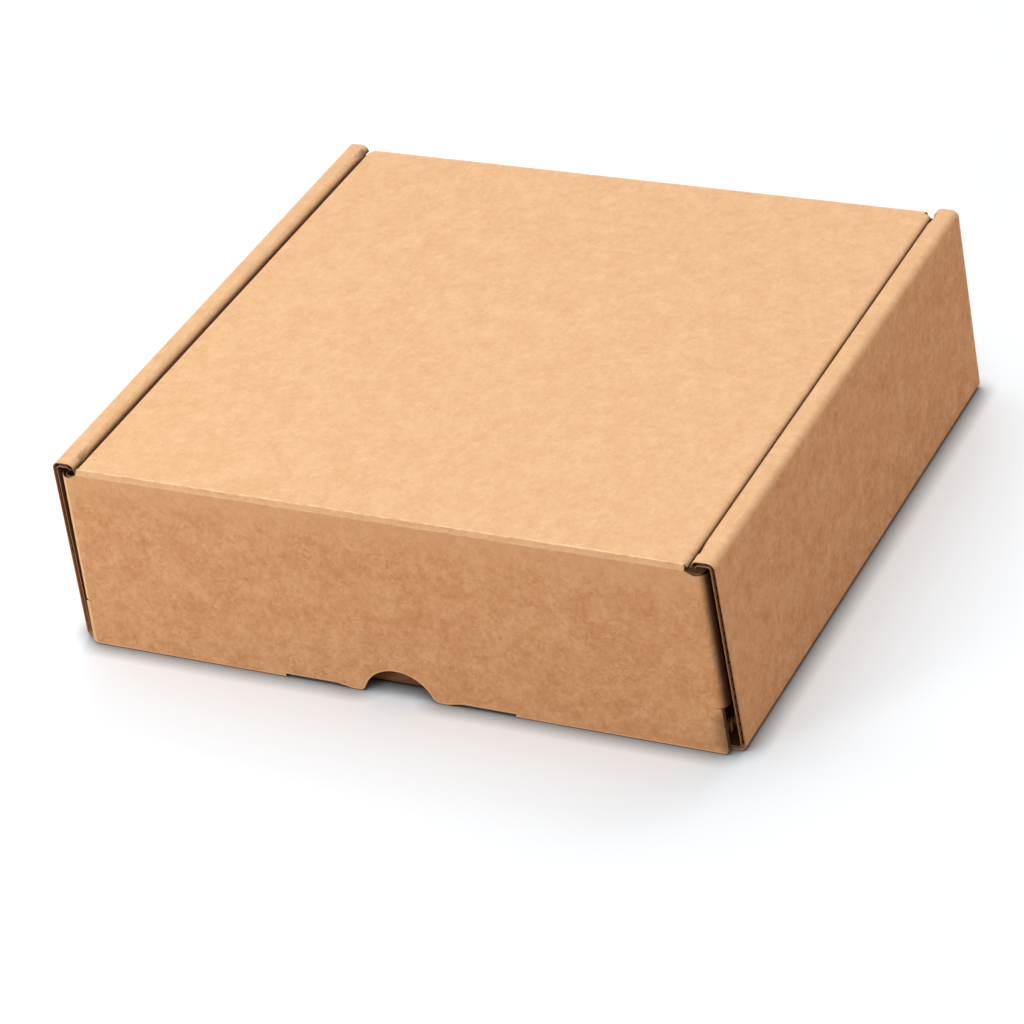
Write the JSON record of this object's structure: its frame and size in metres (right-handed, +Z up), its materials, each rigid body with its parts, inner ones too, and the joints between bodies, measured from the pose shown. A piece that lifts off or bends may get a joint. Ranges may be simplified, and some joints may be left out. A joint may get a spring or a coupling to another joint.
{
  "type": "folded cardboard mailing box",
  "caption": "Shallow mailing box folded from one sheet of kraft corrugated board: rolled double side walls, hinged lid and a front flap with tucked ears and a thumb notch.",
  "frame": {"origin": "middle of the base's underside, where the box stands", "axes": "+Z up, +Y from the front flap to the back wall, +X to the right as seen from the front"},
  "size_m": [0.216, 0.1935, 0.0637],
  "materials": {
    "kraft_board": "matte"
  },
  "bodies": {
    "carton": {"box": "kraft_board"},
    "flap": {"front_flap": "kraft_board"}
  },
  "joints": [
    {"name": "front_flap_hinge", "type": "hinge", "parent": "carton", "child": "flap", "pos_m": [0, -0.0955, 0.06228], "axis": [-1, 0, 0], "range_deg": [0, 90]}
  ]
}
